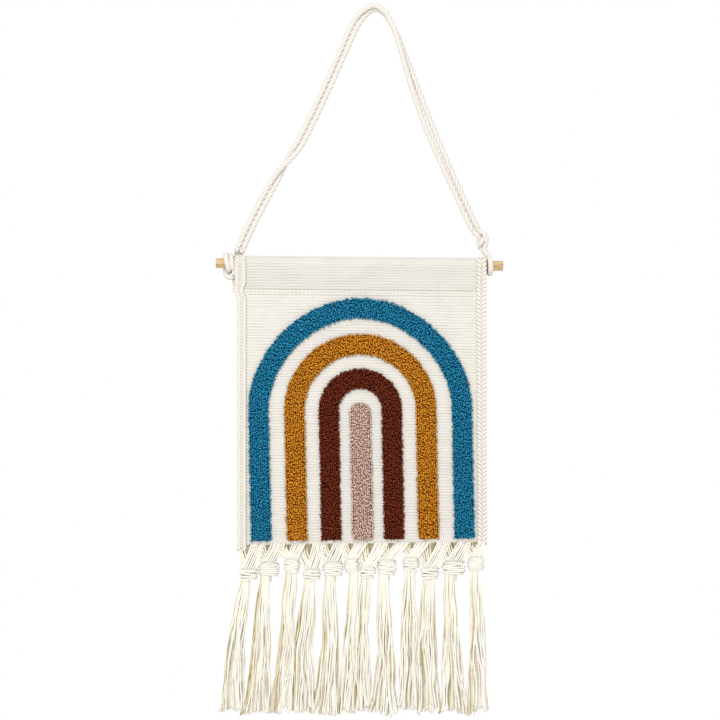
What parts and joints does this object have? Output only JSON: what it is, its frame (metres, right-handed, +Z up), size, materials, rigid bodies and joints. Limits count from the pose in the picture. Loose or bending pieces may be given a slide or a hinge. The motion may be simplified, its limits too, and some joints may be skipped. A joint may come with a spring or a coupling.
{
  "type": "tufted wall hanging on a wooden dowel",
  "caption": "Upright woven cotton panel with nested tufted arches, a rod pocket on a wooden dowel, knotted tassels along its foot and a doubled cord to hang it by.",
  "frame": {"origin": "under the top of the hanging cord, where a hook or nail carries it", "axes": "+Z up, -Y out of the decorated front, +X to the right seen from the front"},
  "size_m": [0.287, 0.0232, 0.7133],
  "materials": {
    "cotton_cloth": "matte ribbed weave",
    "cotton_yarn": "matte loose yarn",
    "cotton_cord": "matte twisted cord",
    "blue_pile": "matte looped pile",
    "mustard_pile": "matte looped pile",
    "brown_pile": "matte looped pile",
    "pink_pile": "matte looped pile",
    "pale_wood": "plain sanded"
  },
  "bodies": {
    "root": {"panel": "cotton_cloth", "edge_braid_left": "cotton_yarn", "edge_braid_right": "cotton_yarn", "tuft_blue": "blue_pile", "tuft_mustard": "mustard_pile", "tuft_brown": "brown_pile", "tuft_pink": "pink_pile", "dowel": "pale_wood", "hanger_strand_a": "cotton_cord", "hanger_strand_b": "cotton_cord", "hitch_left": "cotton_cord", "knot_right": "cotton_cord", "tassel_01": "cotton_yarn", "tassel_02": "cotton_yarn", "tassel_03": "cotton_yarn", "tassel_04": "cotton_yarn", "tassel_05": "cotton_yarn", "tassel_06": "cotton_yarn", "tassel_07": "cotton_yarn", "tassel_08": "cotton_yarn", "tassel_09": "cotton_yarn", "tassel_10": "cotton_yarn", "tassel_11": "cotton_yarn", "tassel_12": "cotton_yarn"}
  },
  "joints": []
}
